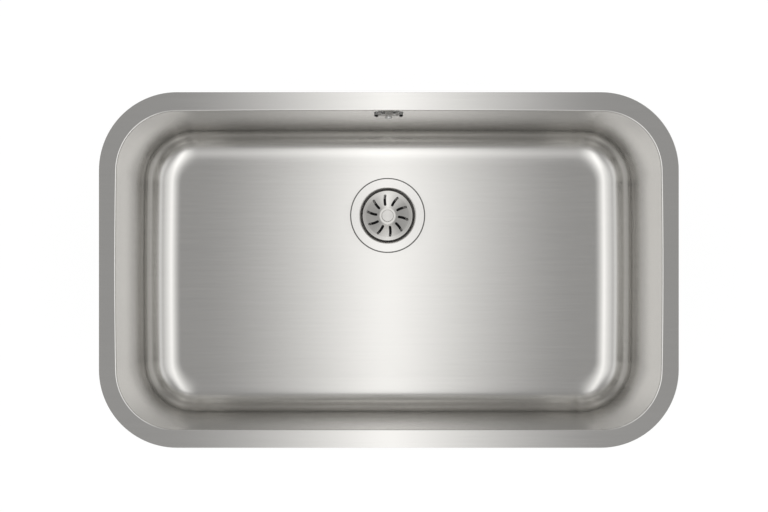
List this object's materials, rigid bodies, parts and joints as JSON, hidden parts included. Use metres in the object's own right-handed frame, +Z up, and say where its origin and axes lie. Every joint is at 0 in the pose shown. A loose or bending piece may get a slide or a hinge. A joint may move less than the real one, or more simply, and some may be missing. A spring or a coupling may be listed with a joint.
{
  "type": "undermount kitchen sink",
  "caption": "Single-bowl undermount kitchen sink in brushed stainless steel, with a lift-out basket strainer, a covered overflow and the waste fitting below.",
  "frame": {"origin": "centre of the rim's top face, in the plane where the worktop's underside lies", "axes": "+Z up out of the bowl, +X to the user's right, +Y to the rear, where the overflow and the waste are"},
  "size_m": [0.75, 0.46, 0.3147],
  "materials": {
    "bowl_steel": "brushed along the sink's length",
    "fitting_steel": "turned and polished",
    "screw_steel": "machined",
    "brass": "machined",
    "white_plastic": "moulded polypropylene",
    "grey_plastic": "moulded polypropylene",
    "black_rubber": "matt",
    "pad_rubber": "matt, pressed sheet"
  },
  "bodies": {
    "sink": {"sink_bowl": "bowl_steel", "sound_pad_left": "pad_rubber", "sound_pad_right": "pad_rubber", "sound_pad_front": "pad_rubber", "waste_flange": "fitting_steel", "flange_seal": "black_rubber", "body_gasket": "black_rubber", "waste_body": "white_plastic", "clamp_screw": "screw_steel", "clamp_nut": "brass", "overflow_cover": "fitting_steel", "overflow_screw": "screw_steel", "overflow_gasket": "black_rubber", "overflow_box": "white_plastic", "overflow_ring": "black_rubber", "overflow_pipe": "white_plastic", "union_nut": "white_plastic", "union_washer": "black_rubber"},
    "strainer": {"strainer_basket": "fitting_steel", "basket_knob": "fitting_steel", "basket_stem": "grey_plastic", "stem_grip": "black_rubber", "basket_plug": "black_rubber"}
  },
  "joints": [
    {"name": "strainer_lift", "type": "slide", "parent": "sink", "child": "strainer", "axis": [0, 0, 1], "range_m": [0, 0.24]}
  ]
}
